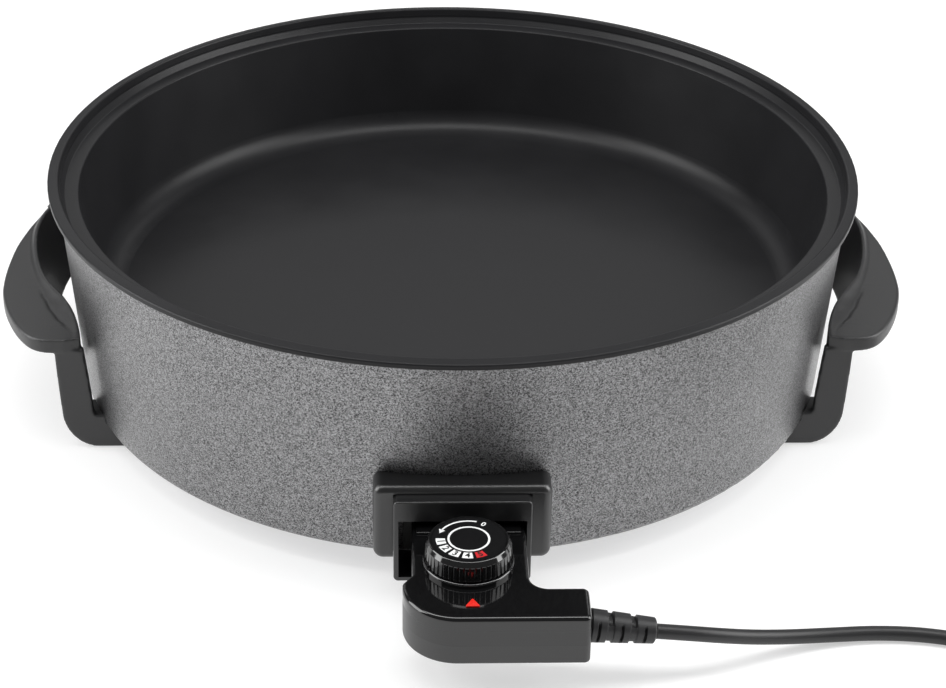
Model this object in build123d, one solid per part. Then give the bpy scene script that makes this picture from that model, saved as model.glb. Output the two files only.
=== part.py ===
from build123d import *
import math
import os

# Electric skillet: a non-stick aluminium bowl hung in a tapered sheet-metal housing, a tubular
# element clamped under its floor, a moulded handle with two legs at each side, and a plug-in
# thermostat control with its supply cord at the front.
# Millimetres, +Z up, table at Z = 0, handles along X, control at -Y. While modelling, the
# bowl's axis is X = Y = 0; save() moves every piece so that the origin lies under the middle
# of the whole object, cord left out.

os.makedirs("parts", exist_ok=True)

# ---- bowl ----
rim_radius = 218.0          # outer edge of the rolled lip
rim_height = 131.5          # crest of the lip above the table
lip_width = 6.2             # rolled lip, from its outer edge to its inner step
lip_thickness = 4.1
lip_fall = 1.2              # the lip is lower at its outer edge than at its crest
ledge_width = 9.8           # lid ledge inside the lip
ledge_depth = 8.7           # lid ledge below the crest
bowl_wall = 3.0
bowl_floor = 5.0
ledge_step = 2.4            # a small sloping step between the ledge and the lip
ledge_step_rise = 3.2
bowl_depth = 64.8           # cooking floor below the lid ledge
bowl_draft = 8.5            # radius lost from the ledge to the floor
bowl_corner = 14.0          # inside radius where wall meets floor
rim_round = 1.1

# ---- housing ----
housing_bottom = 13.0       # bottom edge above the table
housing_sheet = 1.2
lip_overhang = 4.7          # the lip stands out past the housing's top edge
housing_taper = 8.5         # radius lost from the housing's top edge to its foot
housing_corner = 4.0
hem_width = 8.5             # inward hem that carries the base plate
gasket_height = 1.2
gasket_width = 2.4
fit_gap = 0.1               # clearance between fixed pieces that slip together
run_gap = 0.4               # clearance round a piece that moves
press_gap = 0.05            # clearance of a shaft pressed into its hub

# ---- base plate and its posts ----
plate_sheet = 1.0
plate_edge_gap = 4.0
post_radius = 5.0
post_hole_depth = 14.0
slot_count = 12
slot_length = 34.0
slot_width = 5.0
slot_ring_share = 0.36      # the ring of slots, as a share of the plate's radius
base_screw_x = 62.0
base_screw_inset = 57.5     # the base screws' line inside the bowl's floor edge
screw_radius = 2.0
screw_head_radius = 4.0
screw_head = 2.2
screw_drive = 1.1
screw_slot = 0.9

# ---- heating element ----
element_radius = 3.5
element_inset = 81.5        # the ring's sides inside the bowl's floor edge
element_corner_share = 0.64 # its corner radius, as a share of half its width
element_bend = 14.0
element_drop_inset = 46.8   # where its ends drop, inside the housing's foot edge
clamp_ease = 0.05           # air between the element and the floor
clamp_width = 12.0
clamp_sheet = 1.5
clamp_ear = 9.0

# ---- connector ----
pin_spacing = 14.0
pin_radius = 2.0
pin_height = 29.0
pin_reach = 18.0            # pins stand this far out of the terminal block
block_half = 28.6
block_low = 20.0
block_high = 47.0
block_back_inset = 12.8     # the block's back inside the housing's foot edge
block_shoulder_inset = 5.3
block_proud = 0.7           # its face in front of the wall
block_ear_sheet = 5.7
ear_half = 43.5
ear_low = 36.0
hood_half = 43.0
hood_low = 21.5
hood_high = 63.5
hood_proud = 10.9           # the hood's face in front of the wall at the hood's top
hood_round = 5.0
frame_half = 33.2
frame_low = 13.6
frame_high = 59.6
frame_proud = 6.5           # the socket frame's face in front of the hood's
frame_wall = 2.4
frame_lintel = 11.0
frame_round = 2.4
frame_back_inset = 12.0
hood_screw_x = 38.3
hood_screw_z = 42.0

# ---- handles ----
grip_top = 67.0             # flat of the grip above the table
grip_thickness = 8.0
grip_round = 1.6
grip_reach = 28.0           # the grip's widest place, outside the lip
grip_widest_y = -8.0
grip_front_radius = 137.0   # its outer edge is two arcs that meet at its widest place
grip_rear_radius = 203.0
grip_front_y = -85.6
grip_rear_y = 66.0
grip_corner = 8.0
guard_line = [              # middle of the finger guard's crest, X from the lip's edge, front to rear
    (-17.0, -82.0),
    (-14.0, -64.0),
    (-6.2, -44.0),
    (3.5, -26.0),
    (13.0, -5.0),
    (18.0, 20.0),
    (18.0, 44.0),
    (13.0, 64.0),
    (3.0, 77.0),
    (-10.0, 82.75),
    (-26.0, 82.75),
]
guard_wall = 4.5
guard_bottom = 29.0
guard_rise = 3.3            # crest of the finger guard above the flat of the grip
guard_lean = 11.0           # its lower edge leans in towards the housing, most at guard_lean_y
guard_lean_y = 20.0
guard_lean_reach = 62.0
leg_outer_inset = 8.5       # these insets are from the lip's outer edge, along X
leg_inner_inset = 26.0
leg_face_y = 85.0
leg_wall_gap = 5.0          # between the leg and the housing's wall, above the lug
leg_wrap_y = 62.0
leg_bend = 4.0
leg_corner = 16.0
foot_bottom = 1.0
foot_end_inset = 106.0
foot_width = 17.0
lug_high = 21.0
lug_setback = 3.0
lug_length = 14.0
lug_front = 6.0
hem_ease = 12.0             # the foot's thick part stops this far short of the hem
handle_screw_insets = (53.0, 92.0)
counterbore = 4.0
pad_radius = 7.0
pad_height = 3.0
pad_inset = 72.0

# ---- thermostat control ----
control_x = 2.0             # the control's middle beside the bowl's middle plane
control_top = 44.0
control_bottom = 18.2
parting_height = 28.5
shell_wall = 2.2
neck_left = -24.5
neck_right = 30.0
nose_depth = 15.0           # the nose inside the socket frame's face
neck_length = 36.0          # these lengths are forward of the socket frame's face
body_left = -29.0
body_right = 57.0
body_back_length = 46.5
body_front_length = 70.5
body_bow = 25.5             # radius of the bowed front left corner
body_flare = 6.0
stop_rib = 1.0              # raised rib across the neck at the socket frame's face
stop_rib_width = 6.0
shell_round = 2.2
shell_post_radius = 3.3
shell_screw_radius = 1.5
shell_head_radius = 2.6
probe_height = 38.0
probe_radius = 3.0
probe_gap = 0.3
probe_seat = 8.0            # the probe sits this deep in the thermostat's base
probe_tip_inset = 69.5      # the probe's tip inside the bowl's floor edge
well_radius = 6.5
well_front_inset = 7.5
well_end_inset = 75.5
base_low_x = -18.0
base_high_x = 22.0
base_back_length = 36.0
base_front_length = 2.0
base_thickness = 10.0
clip_wall = 0.7
clip_length = 22.0
post_x = 15.0
blade_sheet = 0.6

# ---- dial ----
dial_length = 26.5          # the dial's middle forward of the socket frame's face
dial_top = 57.2
dial_face_radius = 18.7
dial_skirt_radius = 20.6
dial_skirt_low = 46.9
dial_skirt_high = 54.6
dial_wall = 2.0
flute_count = 48
flute_radius = 0.75
collar_radius = 21.6
collar_height = 2.4
collar_wall = 3.0
print_disc_radius = 17.4
print_disc = 0.5
spindle_radius = 3.0
spindle_top = 53.8
hub_radius = 5.5

# ---- pilot lamp ----
lamp_length = 59.5          # its middle forward of the socket frame's face
lamp_side = 7.0
lamp_proud = 0.6
lamp_depth = 3.0
neon_radius = 2.6
neon_length = 11.0
neon_height = 38.35

# ---- cord ----
cord_radius = 3.6
clamp_far = 17.5            # the cord clamp's sides inside the body's right side
clamp_near = 11.0
clamp_half = 5.0
clamp_rise = 8.0
relief_root_radius = 8.6
relief_tip_radius = 6.6
relief_bush_radius = 6.2
relief_flange_radius = 7.6
relief_root_place = (body_right, -56.5, 28.6)      # Y here and below is from the socket frame's face
relief_tip_place = (88.5, -55.5, 25.0)
relief_slots = 8
relief_slot = 1.9
coil_place = (294.0, -8.0)
coil_radius = 39.6          # middle of the turns
coil_layers = 2
plug_radius = 18.0
plug_x = 309.0
plug_back_place = 78.0
plug_length = 34.0
plug_neck = 16.0
plug_pin_radius = 2.4
plug_pin_length = 19.0
plug_pin_spacing = 19.0
cord_places = [
    relief_tip_place,
    (103.4, -55.03, 23.3),
    (119.5, -51.4, 18.9),
    (136.5, -45.0, 12.9),
    (155.0, -38.4, 7.9),
    (176.0, -32.8, 4.6),
    (199.0, -30.2, 3.7),
    (223.0, -31.9, 3.6),
    (246.5, -38.0, 3.6),
    (269.5, -45.8, 3.6),
    (292.0, -49.6, 3.6),
]
tail_places = [
    (332.6, 2.8, 10.8),
    (328.0, 20.0, 11.0),
    (321.6, 35.5, 12.4),
    (314.6, 49.0, 14.6),
    (310.0, 63.0, 17.0),
    (309.0, 78.0, 18.0),
]

# ---- derived places ----
step_radius = rim_radius - lip_width
mouth_radius = step_radius - ledge_width
ledge_height = rim_height - ledge_depth
floor_height = ledge_height - bowl_depth
floor_radius = mouth_radius - bowl_draft
underside = floor_height - bowl_floor
lip_underside = rim_height - lip_thickness
housing_top = lip_underside - gasket_height
housing_top_radius = rim_radius - lip_overhang
housing_foot_radius = housing_top_radius - housing_taper
plate_top = housing_bottom + housing_sheet + plate_sheet
plate_radius = housing_foot_radius - housing_sheet - plate_edge_gap
slot_ring_radius = plate_radius * slot_ring_share
base_screw_y = floor_radius - base_screw_inset
element_half = floor_radius - element_inset
element_corner = element_half * element_corner_share
element_run_back = housing_foot_radius - element_drop_inset
leg_outer_x = rim_radius - leg_outer_inset
leg_inner_x = rim_radius - leg_inner_inset
foot_end_x = rim_radius - foot_end_inset
handle_screw_x = [rim_radius - inset for inset in handle_screw_insets]
pad_x = rim_radius - pad_inset
grip_widest_x = rim_radius + grip_reach
probe_tip_y = probe_tip_inset - floor_radius
well_front_y = well_front_inset - floor_radius
well_end_y = well_end_inset - floor_radius
upright = (Align.CENTER, Align.CENTER, Align.MIN)


def housing_radius(height):
    """The housing's outer radius at a height."""
    share = (height - housing_bottom) / (housing_top - housing_bottom)
    return housing_foot_radius + share * (housing_top_radius - housing_foot_radius)


block_back_y = block_back_inset - housing_foot_radius
block_shoulder_y = block_shoulder_inset - housing_foot_radius
block_face_y = -housing_radius(block_high) - block_proud
hood_face_y = -housing_radius(hood_high) - hood_proud
frame_face_y = hood_face_y - frame_proud
nose_y = frame_face_y + nose_depth
neck_end_y = frame_face_y - neck_length
body_back_y = frame_face_y - body_back_length
body_front_y = frame_face_y - body_front_length
base_back_y = frame_face_y - base_back_length
base_front_y = frame_face_y - base_front_length
dial_y = frame_face_y - dial_length
lamp_y = frame_face_y - lamp_length
plug_back_y = frame_face_y + plug_back_place
relief_root, relief_tip = [(x, frame_face_y + y, z) for x, y, z in (relief_root_place, relief_tip_place)]
coil_centre = (coil_place[0], frame_face_y + coil_place[1])
cord_route = [(x, frame_face_y + y, z) for x, y, z in cord_places]
tail_route = [(x, frame_face_y + y, z) for x, y, z in tail_places]
frame_shift = (rim_radius + body_front_y) / -2.0


def save(shape, name):
    """Write one named piece, moved into the object's own frame."""
    export_step(Pos(0, frame_shift, 0) * shape, f"parts/{name}.step")


def turned(points, radii):
    """A solid of revolution about Z from (radius, height) corners and their fillets."""
    corners = [(r, 0, z) for r, z in points]
    return revolve(make_face(FilletPolyline(*corners, radius=radii, close=True)), Axis.Z, 360)


def block(x, y, z):
    """A box from its (low, high) pairs."""
    size = [pair[1] - pair[0] for pair in (x, y, z)]
    return Pos(x[0], y[0], z[0]) * Box(*size, align=(Align.MIN,) * 3)


def prism(points, radii, low, high):
    """A plan outline with rounded corners, raised from low to high."""
    corners = [(x, y, low) for x, y in points]
    return extrude(make_face(FilletPolyline(*corners, radius=radii, close=True)), high - low, dir=(0, 0, 1))


def rod(radius, start, end):
    """A round bar between two points."""
    path = Line(start, end)
    return extrude(Plane(origin=start, z_dir=path % 0) * Circle(radius), path.length)


def housing_cone(gap):
    """The space inside the housing's outer face, grown by gap."""
    low = housing_bottom - 1
    high = housing_top
    return turned(
        [(0, low), (housing_radius(low) + gap, low), (housing_radius(high) + gap, high), (0, high)], 0
    )


def screw(x, y, seat, length):
    """A pan-head screw driven upwards, its head under the seat."""
    head = Pos(x, y, seat - screw_head / 2) * Cylinder(screw_head_radius, screw_head)
    head = fillet(head.edges().group_by(Axis.Z)[0], screw_head * 0.35)
    slot_z = seat - screw_head + screw_drive / 2
    for turn in (0, 90):
        head -= Pos(x, y, slot_z) * Rot(0, 0, turn) * Box(screw_head_radius * 1.2, screw_slot, screw_drive)
    return head + Pos(x, y, seat + length / 2) * Cylinder(screw_radius, length)


def cord_radii(route):
    """Fillet radii as large as the runs of a route allow, printed for a look."""
    points = [Vector(*p) for p in route]
    radii = []
    for before, at, after in zip(points, points[1:], points[2:]):
        turn = math.radians((at - before).get_angle(after - at))
        shorter = min((at - before).length, (after - at).length)
        radii.append(0.45 * shorter / math.tan(turn / 2))
    print("cord radii", [round(r) for r in radii])
    return radii


def cord_tube(route):
    """The cord along a route of straight runs and tangent arcs."""
    path = FilletPolyline(*route, radius=cord_radii(route))
    tube = sweep(Plane(origin=path @ 0, z_dir=path % 0) * Circle(cord_radius), path=path)
    print("cord volume share", round(tube.volume / (math.pi * cord_radius**2 * path.length), 4))
    return tube


# ================= bowl, housing and base =================

post_places = [(side * x, fore * (leg_face_y - foot_width / 2))
               for side in (-1, 1) for fore in (-1, 1) for x in handle_screw_x]
base_screw_places = [(side * base_screw_x, fore * base_screw_y) for side in (-1, 1) for fore in (-1, 1)]


def bowl():
    """Cast bowl: stepped rim, cooking floor, screw posts and the probe's well underneath."""
    ledge_underside = ledge_height - bowl_wall
    outer_step = housing_radius(ledge_underside) - housing_sheet - fit_gap
    body = turned(
        [
            (0, floor_height),
            (floor_radius, floor_height),
            (mouth_radius, ledge_height),
            (step_radius - ledge_step, ledge_height),
            (step_radius - 0.3, ledge_height + ledge_step_rise),
            (step_radius + 0.4, rim_height),
            (rim_radius, rim_height - lip_fall),
            (rim_radius, lip_underside),
            (outer_step, lip_underside),
            (outer_step, ledge_underside),
            (mouth_radius + bowl_wall, ledge_underside),
            (floor_radius + bowl_wall * 0.6, underside),
            (0, underside),
        ],
        [0, bowl_corner, rim_round, 0.8, 1.6, rim_round, rim_round, 0.8, 0, rim_round, 2.0, bowl_corner, 0],
    )
    for x, y in post_places + base_screw_places:
        post_length = underside + 1 - plate_top
        body += Pos(x, y, plate_top + post_length / 2) * Cylinder(post_radius, post_length)
        body -= Pos(x, y, plate_top + post_hole_depth / 2) * Cylinder(screw_radius + fit_gap, post_hole_depth)
    well = block(
        (-well_radius, well_radius), (well_front_y, well_end_y), (probe_height, underside + 1)
    ) + rod(well_radius, (0, well_front_y, probe_height), (0, well_end_y, probe_height))
    body += well
    bore_end = probe_tip_y + 1.0
    bore_start = (0, well_front_y - 1, probe_height)
    return body - rod(probe_radius + probe_gap, bore_start, (0, bore_end, probe_height))


def housing():
    """Tapered sheet wall with an inward hem and the window for the connector."""
    inner_low = housing_foot_radius - housing_sheet
    hem_radius = housing_foot_radius - hem_width
    wall = turned(
        [
            (hem_radius, housing_bottom),
            (housing_foot_radius, housing_bottom),
            (housing_top_radius, housing_top),
            (housing_top_radius - housing_sheet, housing_top),
            (inner_low, housing_bottom + housing_sheet),
            (hem_radius, housing_bottom + housing_sheet),
        ],
        [0, housing_corner, 0, 0, housing_corner - housing_sheet, 0],
    )
    window = block(
        (-block_half - fit_gap, block_half + fit_gap),
        (-rim_radius, block_shoulder_y),
        (block_low - fit_gap, block_high + fit_gap),
    )
    wall -= window
    for side in (-1, 1):
        x = side * hood_screw_x
        wall -= rod(screw_radius + fit_gap, (x, -rim_radius, hood_screw_z), (x, block_back_y, hood_screw_z))
    return wall


def base_plate():
    """Pressed steel disc inside the hem, with a ring of vent slots."""
    low = plate_top - plate_sheet
    plate = Pos(0, 0, low + plate_sheet / 2) * Cylinder(plate_radius, plate_sheet)
    for i in range(slot_count):
        cut = extrude(Plane.XY * SlotOverall(slot_length, slot_width), plate_sheet * 4, both=True)
        plate -= Rot(0, 0, i * 360 / slot_count) * Pos(slot_ring_radius, 0, low) * cut
    for x, y in post_places + base_screw_places:
        plate -= Pos(x, y, low) * Cylinder(screw_radius + fit_gap, plate_sheet * 4)
    return plate


def rim_gasket():
    """Silicone ring between the housing's top edge and the lip."""
    inner = housing_top_radius - housing_sheet
    return turned(
        [
            (inner, housing_top),
            (inner + gasket_width, housing_top),
            (inner + gasket_width, lip_underside),
            (inner, lip_underside),
        ],
        0,
    )


save(bowl(), "bowl")
save(housing(), "housing")
save(base_plate(), "base_plate")
save(rim_gasket(), "rim_gasket")
base_screws = [screw(x, y, plate_top - plate_sheet, post_hole_depth - 2) for x, y in base_screw_places]
save(Compound(children=base_screws), "base_screws")


# ================= heating element =================

element_height = underside - element_radius - clamp_ease


def heating_element():
    """Sheathed tubular ring whose two ends drop to the terminals."""
    h = element_height
    a = element_half
    x = pin_spacing
    end_y = block_back_y
    route = [
        (x, end_y, pin_height),
        (x, -element_run_back - element_bend, pin_height),
        (x, -element_run_back + element_bend, h),
        (x, -a, h),
        (a, -a, h),
        (a, a, h),
        (-a, a, h),
        (-a, -a, h),
        (-x, -a, h),
        (-x, -element_run_back + element_bend, h),
        (-x, -element_run_back - element_bend, pin_height),
        (-x, end_y, pin_height),
    ]
    bends = [element_bend] * 3 + [element_corner] * 4 + [element_bend] * 3
    path = FilletPolyline(*route, radius=bends)
    return sweep(Plane(origin=path @ 0, z_dir=path % 0) * Circle(element_radius), path=path)


def element_clamp():
    """Steel saddle that holds the element against the floor, built at the +X side."""
    x = element_half
    r = element_radius + fit_gap
    width = r + clamp_ear
    saddle = block(
        (x - r - clamp_sheet, x + r + clamp_sheet),
        (-clamp_width / 2, clamp_width / 2),
        (element_height - r - clamp_sheet, underside),
    )
    saddle -= rod(r, (x, -clamp_width, element_height), (x, clamp_width, element_height))
    saddle -= block((x - r, x + r), (-clamp_width, clamp_width), (element_height, underside + 1))
    across = (-clamp_width / 2, clamp_width / 2)
    ears = block((x - width, x + width), across, (underside - clamp_sheet, underside))
    ears -= block((x - r, x + r), (-clamp_width, clamp_width), (underside - 2 * clamp_sheet, underside + 1))
    return saddle + ears


save(heating_element(), "heating_element")
clamps = [Rot(0, 0, turn) * element_clamp() for turn in (0, 90, 180)]
save(Compound(children=clamps), "element_clamps")


# ================= connector =================

pin_places = [(-pin_spacing, pin_height), (0.0, pin_height - 4.0), (pin_spacing, pin_height)]


def terminal_block():
    """Ceramic-filled block behind the window, with ears for the two screws."""
    body = block((-block_half, block_half), (block_face_y, block_back_y), (block_low, block_high))
    ear_depth = (block_back_y - block_ear_sheet, block_back_y)
    body += block((-ear_half, ear_half), ear_depth, (ear_low, block_high))
    for x, z in pin_places:
        body -= rod(pin_radius + 0.02, (x, block_face_y - 1, z), (x, block_back_y + 1, z))
    bore_start = (0, block_face_y - 1, probe_height)
    bore_end = (0, block_back_y + 1, probe_height)
    body -= rod(probe_radius + run_gap, bore_start, bore_end)
    for side in (-1, 1):
        x = side * hood_screw_x
        hole_start = (x, block_shoulder_y, hood_screw_z)
        body -= rod(screw_radius + fit_gap, hole_start, (x, block_back_y + 1, hood_screw_z))
    return body


def terminal_pins():
    """Two live pins and the earth pin."""
    pins = []
    for x, z in pin_places:
        pin = rod(pin_radius, (x, block_face_y - pin_reach, z), (x, block_back_y, z))
        pins.append(fillet(pin.edges().group_by(Axis.Y)[0], pin_radius * 0.6))
    return Compound(children=pins)


def connector_hood():
    """Moulded surround on the wall, open below for the socket frame."""
    hood = block((-hood_half, hood_half), (hood_face_y, -housing_foot_radius + 12), (hood_low, hood_high))
    hood = fillet(hood.edges().filter_by(Axis.Y), hood_round)
    front = hood.faces().sort_by(Axis.Y)[0].edges()
    hood = fillet(front, hood_round * 0.8)
    hood -= block(
        (-frame_half - fit_gap, frame_half + fit_gap),
        (hood_face_y - 1, 0),
        (hood_low - 1, frame_high + fit_gap),
    )
    hood -= housing_cone(fit_gap)
    for side in (-1, 1):
        x = side * hood_screw_x
        hood -= rod(screw_radius + fit_gap, (x, hood_face_y + 4, hood_screw_z), (x, 0, hood_screw_z))
    return hood


def socket_frame():
    """Rectangular shroud round the pins, deeper at its lintel."""
    frame_depth = (frame_face_y, frame_back_inset - housing_foot_radius)
    frame = block((-frame_half, frame_half), frame_depth, (frame_low, frame_high))
    frame = fillet(frame.edges().filter_by(Axis.Y), frame_round)
    frame = fillet(frame.faces().sort_by(Axis.Y)[0].edges(), 0.8)
    inner = frame_half - frame_wall
    frame_opening = (frame_low + frame_wall, frame_high - frame_lintel)
    frame -= block((-inner, inner), (frame_face_y - 1, 0), frame_opening)
    return frame - housing_cone(fit_gap)


def hood_screws():
    """Screws from inside the housing, through the block's ears, into the hood."""
    screws = []
    for side in (-1, 1):
        x = side * hood_screw_x
        shank = rod(screw_radius, (x, hood_face_y + 4.5, hood_screw_z), (x, block_back_y, hood_screw_z))
        head_top = (x, block_back_y + screw_head, hood_screw_z)
        head = rod(screw_head_radius, (x, block_back_y, hood_screw_z), head_top)
        head -= Pos(*head_top) * Box(screw_head_radius * 1.3, screw_drive * 2, screw_slot)
        screws.append(shank + head)
    return Compound(children=screws)


save(terminal_block(), "terminal_block")
save(terminal_pins(), "terminal_pins")
save(connector_hood(), "connector_hood")
save(socket_frame(), "socket_frame")
save(hood_screws(), "hood_screws")


# ================= handles =================

def guard_section(level, lean):
    """Plan of the finger guard's wall at a level, leaning in by a share of guard_lean."""
    points = [(rim_radius + x, y) for x, y in guard_line]
    sides = ([], [])
    for i, (x, y) in enumerate(points):
        before = points[max(i - 1, 0)]
        after = points[min(i + 1, len(points) - 1)]
        along = (Vector(*after) - Vector(*before)).normalized()
        bend = min(1.0, abs(y - guard_lean_y) / guard_lean_reach)
        inward = lean * guard_lean * math.cos(bend * math.pi / 2) ** 2
        for side, half in zip(sides, (-guard_wall / 2, guard_wall / 2)):
            side.append((x - inward + along.Y * half, y - along.X * half, level))
    inner, outer = sides
    edges = [
        Spline(*inner),
        Line(inner[-1], outer[-1]),
        Spline(*reversed(outer)),
        Line(outer[0], inner[0]),
    ]
    return make_face(Wire(edges))


def finger_guard():
    """Wall between the fingers and the hot housing, its lower edge nearer to the housing."""
    return loft([guard_section(guard_bottom, 1.0), guard_section(grip_top + guard_rise, 0.0)], ruled=True)


def leg_band():
    """Plan of the two angle-shaped legs."""
    half = guard_wall / 2
    middle_x = leg_outer_x - half
    band = None
    for fore in (-1, 1):
        y = fore * (leg_face_y - half)
        route = [(leg_inner_x, y), (middle_x, y), (middle_x, fore * leg_wrap_y)]
        angle = trace(FilletPolyline(*route, radius=leg_bend), guard_wall)
        band = angle if band is None else band + angle
    return band


def grip_edge(y):
    """The point of the grip's outer edge at a place along it."""
    radius = grip_front_radius if y < grip_widest_y else grip_rear_radius
    return (grip_widest_x - radius + math.sqrt(radius**2 - (y - grip_widest_y) ** 2), y)


def grip_outline():
    """Plan outline of the flat grip: two outer arcs, blunt front end and the guard's line."""
    front_x = guard_line[0][0]
    along_guard = [(x, y) for x, y in reversed(guard_line) if y < grip_rear_y and x >= front_x]
    inside = [(rim_radius + x, y) for x, y in along_guard]
    front = grip_edge(grip_front_y)
    rear = grip_edge(grip_rear_y)
    inner_end = (inside[-1][0], grip_front_y)
    edges = [
        ThreePointArc(front, grip_edge((grip_front_y + grip_widest_y) / 2), grip_edge(grip_widest_y)),
        ThreePointArc(grip_edge(grip_widest_y), grip_edge((grip_rear_y + grip_widest_y) / 2), rear),
        Line(rear, inside[0]),
        Spline(*inside),
        Line(inside[-1], inner_end),
        Line(inner_end, front),
    ]
    face = make_face(Wire(edges))
    corner = face.vertices().sort_by_distance((*front, 0))[0]
    return fillet(corner, grip_corner)


def grip():
    """The flat crescent that the hand holds, its outer top edge rounded."""
    slab = extrude(Pos(0, 0, grip_top - grip_thickness) * grip_outline(), grip_thickness)
    rim = slab.faces().sort_by(Axis.Z)[-1].edges().filter_by(GeomType.CIRCLE)
    return fillet(rim, grip_round)


def foot(fore):
    """One flat foot with its lug against the housing; fore is -1 at the front and 1 at the rear."""
    face = fore * leg_face_y
    back = fore * (leg_face_y - foot_width)
    hem_x = housing_foot_radius - hem_width - hem_ease
    lug_x = leg_inner_x - lug_length
    pieces = [
        block((foot_end_x, leg_outer_x), sorted((face, back)), (foot_bottom, housing_bottom)),
        block((foot_end_x, hem_x), sorted((face, back)), (foot_bottom, plate_top - plate_sheet)),
        block(
            (lug_x, leg_outer_x - guard_wall),
            sorted((face - fore * lug_setback, back)),
            (foot_bottom, lug_high),
        ),
        block((lug_x, leg_inner_x + 1), sorted((face, face - fore * lug_front)), (foot_bottom, lug_high)),
    ]
    return pieces[0] + pieces[1] + pieces[2] + pieces[3]


def leg_profile():
    """The space that the legs and feet keep to, with their round lower corner, seen from the front."""
    corners = [
        (foot_end_x - 1, foot_bottom - 1, 0),
        (foot_end_x - 1, rim_height, 0),
        (leg_outer_x, rim_height, 0),
        (leg_outer_x, foot_bottom, 0),
        (foot_end_x, foot_bottom, 0),
    ]
    outline = FilletPolyline(*corners, radius=[0, 0, 0, leg_corner, 0], close=True)
    return extrude(Plane.XZ * make_face(outline), rim_radius, both=True)


def handle():
    """Handle with two legs and two feet, built at +X."""
    legs = extrude(Pos(0, 0, foot_bottom) * leg_band(), grip_top - 1 - foot_bottom)
    corner_top = leg_corner + foot_bottom + 1
    upper = legs - housing_cone(leg_wall_gap)
    upper -= block((0, rim_radius * 2), (-rim_radius, rim_radius), (0, corner_top))
    lower = legs & block((0, rim_radius * 2), (-rim_radius, rim_radius), (0, lug_high))
    lower += foot(-1) + foot(1)
    body = (lower & leg_profile()) + upper + finger_guard() + grip()
    body -= housing_cone(fit_gap)
    for fore in (-1, 1):
        y = fore * (leg_face_y - foot_width / 2)
        for x in handle_screw_x:
            body -= Pos(x, y, 0) * Cylinder(screw_radius + fit_gap, rim_height)
            sunk = Cylinder(screw_head_radius + run_gap, counterbore)
            body -= Pos(x, y, foot_bottom + counterbore / 2) * sunk
        pocket = foot_bottom + (pad_height - foot_bottom) / 2
        body -= Pos(pad_x, y, pocket) * Cylinder(pad_radius + fit_gap, pad_height - foot_bottom)
    return body


def handle_screws(side):
    """The four screws of one handle."""
    seat = foot_bottom + counterbore
    reach = plate_top + post_hole_depth - 2 - seat
    found = []
    for fore in (-1, 1):
        for x in handle_screw_x:
            found.append(screw(side * x, fore * (leg_face_y - foot_width / 2), seat, reach))
    return found


def foot_pad(x, y):
    """A rubber button pressed into the foot, slightly rounded where it rests."""
    pad = Pos(x, y, pad_height / 2) * Cylinder(pad_radius, pad_height)
    return fillet(pad.edges().group_by(Axis.Z)[0], 0.8)


right_handle = handle()
save(right_handle, "handle_right")
save(mirror(right_handle, Plane.YZ), "handle_left")
save(Compound(children=handle_screws(-1) + handle_screws(1)), "handle_screws")
pads = [foot_pad(side * pad_x, fore * (leg_face_y - foot_width / 2)) for side in (-1, 1) for fore in (-1, 1)]
save(Compound(children=pads), "foot_pads")


# ================= thermostat control =================

def control_outline(inset):
    """Plan outline of the control: neck into the socket, bowed front, cord end at +X."""
    points = [
        (neck_left, nose_y),
        (neck_left, neck_end_y),
        (body_left, neck_end_y - body_flare),
        (body_left, body_front_y),
        (body_right, body_front_y),
        (body_right, body_back_y),
        (neck_right, body_back_y),
        (neck_right, nose_y),
    ]
    radii = [3, 3, 2.5, body_bow, 3, 3, 9, 3]
    face = make_face(FilletPolyline(*[(x, y, 0) for x, y in points], radius=radii, close=True))
    return offset(face, -inset) if inset else face


def nose_holes():
    """Entries for the three pins and the probe."""
    cuts = []
    for x, z in pin_places:
        sleeve = pin_radius + clip_wall + run_gap
        cuts.append(rod(sleeve, (x, nose_y - shell_wall * 2, z), (x, nose_y + 1, z)))
    cuts.append(
        rod(probe_radius + run_gap, (0, nose_y - shell_wall * 2, probe_height), (0, nose_y + 1, probe_height))
    )
    return cuts


relief_direction = (Vector(*relief_tip) - Vector(*relief_root)).normalized()
relief_inside = Vector(*relief_root) - relief_direction * (shell_wall + 1.5)


def upper_shell():
    """Glossy top half, open below, with the dial's hole and the lamp's window."""
    shell = extrude(Pos(0, 0, parting_height) * control_outline(0), control_top - parting_height)
    shell = fillet(shell.faces().sort_by(Axis.Z)[-1].edges(), shell_round)
    rib = block(
        (neck_left + shell_round, neck_right - shell_round),
        (frame_face_y - 4, frame_face_y - 4 + stop_rib_width),
        (control_top - shell_wall / 2, control_top + stop_rib),
    )
    shell += fillet(rib.edges().group_by(Axis.Z)[-1], stop_rib * 0.6)
    hollow = control_top - parting_height - shell_wall
    shell -= extrude(Pos(0, 0, parting_height) * control_outline(shell_wall), hollow)
    for x, y in shell_screw_places:
        shell += Pos(x, y, parting_height + (hollow + 1) / 2) * Cylinder(shell_post_radius, hollow + 1)
        shell -= Pos(x, y, parting_height + 3.5) * Cylinder(shell_screw_radius + fit_gap, 7.2)
    shell -= Pos(control_x, dial_y, control_top) * Cylinder(spindle_radius + run_gap, shell_wall * 4)
    shell -= lamp_prism(fit_gap, control_top - shell_wall * 2, control_top + 1)
    for cut in nose_holes():
        shell -= cut
    return shell - relief_hole()


def relief_hole():
    """Round hole for the strain relief's bush, shared by both shells."""
    out = Vector(*relief_root) + relief_direction * 3
    return rod(relief_bush_radius + fit_gap, tuple(relief_inside), tuple(out))


shell_screw_places = [
    (-pin_spacing / 2, frame_face_y + 7),
    (pin_spacing / 2, frame_face_y + 7),
    (body_left + 16, body_back_y - 5),
    (body_right - 23, body_front_y + 6.3),
]


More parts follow.
